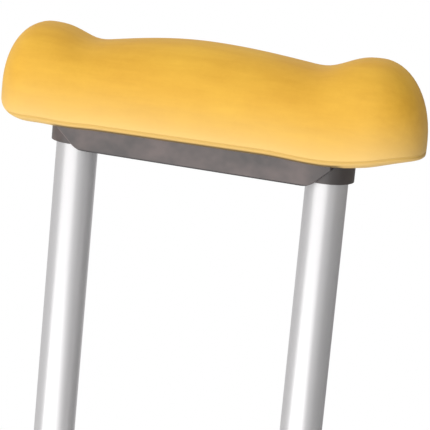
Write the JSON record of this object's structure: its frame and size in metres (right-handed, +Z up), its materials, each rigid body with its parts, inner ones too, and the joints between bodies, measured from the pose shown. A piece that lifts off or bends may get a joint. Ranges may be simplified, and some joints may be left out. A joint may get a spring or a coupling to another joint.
{
  "type": "underarm crutch",
  "caption": "Underarm crutch: a two-lobed rubber pad on a moulded saddle, bent side tubes, a sliding handgrip and a leg that locks with a snap button.",
  "frame": {"origin": "centre of the rubber foot's sole", "axes": "+Z up the leg, +X along the pad towards its taller lobe, +Y through the frame, away from the side that the snap button faces"},
  "size_m": [0.2288, 0.0506, 1.2167],
  "materials": {
    "pad_rubber": "smooth moulded sponge rubber",
    "grip_foam": "fine closed-cell foam",
    "tip_rubber": "matt moulded rubber",
    "saddle_plastic": "satin moulded",
    "plug_plastic": "satin moulded",
    "satin_aluminium": "satin anodised",
    "zinc_steel": "bright zinc plate"
  },
  "bodies": {
    "frame": {"underarm_pad": "pad_rubber", "underarm_saddle": "saddle_plastic", "saddle_screws": "zinc_steel", "upright_top_plugs": "plug_plastic", "left_upright": "satin_aluminium", "right_upright": "satin_aluminium", "centre_tube": "satin_aluminium", "centre_tube_cap": "plug_plastic", "upright_end_caps": "plug_plastic", "tube_spacers": "plug_plastic", "leg_bolts": "zinc_steel", "leg_bolt_washers": "zinc_steel", "leg_bolt_nuts": "zinc_steel", "leg_collar": "plug_plastic"},
    "leg": {"leg_tube": "satin_aluminium", "leg_guide_plug": "plug_plastic", "rubber_tip": "tip_rubber", "tip_washer": "zinc_steel", "button_spring": "zinc_steel"},
    "button": {"snap_button": "zinc_steel"},
    "grip": {"grip_core": "plug_plastic", "grip_sleeve": "grip_foam", "grip_bolt": "zinc_steel", "grip_washers": "zinc_steel", "wing_nut_washer": "zinc_steel"},
    "wing_nut": {"wing_nut": "zinc_steel"}
  },
  "joints": [
    {"name": "leg_extension", "type": "slide", "parent": "frame", "child": "leg", "axis": [0, 0, 1], "range_m": [-0.075, 0.075]},
    {"name": "button_press", "type": "slide", "parent": "leg", "child": "button", "axis": [0, 1, 0], "range_m": [0, 0.0036], "stiffness_N_per_m": 800, "springref_m": -0.002, "deforming": ["button_spring"]},
    {"name": "grip_height", "type": "slide", "parent": "frame", "child": "grip", "axis": [0, 0, 1], "range_m": [-0.075, 0.075]},
    {"name": "wing_nut_turn", "type": "hinge", "parent": "grip", "child": "wing_nut", "pos_m": [0.0826, 0, 0.82684], "axis": [1, 0, 0], "continuous": true}
  ]
}
